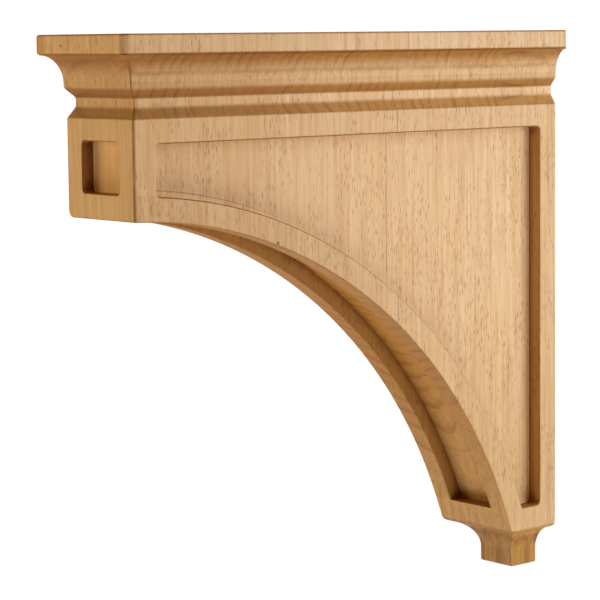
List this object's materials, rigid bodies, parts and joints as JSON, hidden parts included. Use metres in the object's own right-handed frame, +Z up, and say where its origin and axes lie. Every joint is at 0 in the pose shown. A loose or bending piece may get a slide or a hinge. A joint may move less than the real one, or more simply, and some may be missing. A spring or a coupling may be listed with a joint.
{
  "type": "corbel bracket",
  "caption": "Arc-cut wooden corbel bracket with a moulded head, sunk panels on its front and sides, a channel under the arc and a small coved foot; holds up a shelf or counter.",
  "frame": {"origin": "middle of the flat back that goes against the wall: on the centre line, half way between the top and the foot", "axes": "+Z up, +Y into the wall, so the front of the bracket faces -Y; X is the width and the part is symmetric in X"},
  "size_m": [0.0874, 0.3556, 0.3556],
  "materials": {
    "wood": "bare sanded pale hardwood, glued up from upright staves, end grain darker"
  },
  "bodies": {
    "root": {"corbel": "wood"}
  },
  "joints": []
}
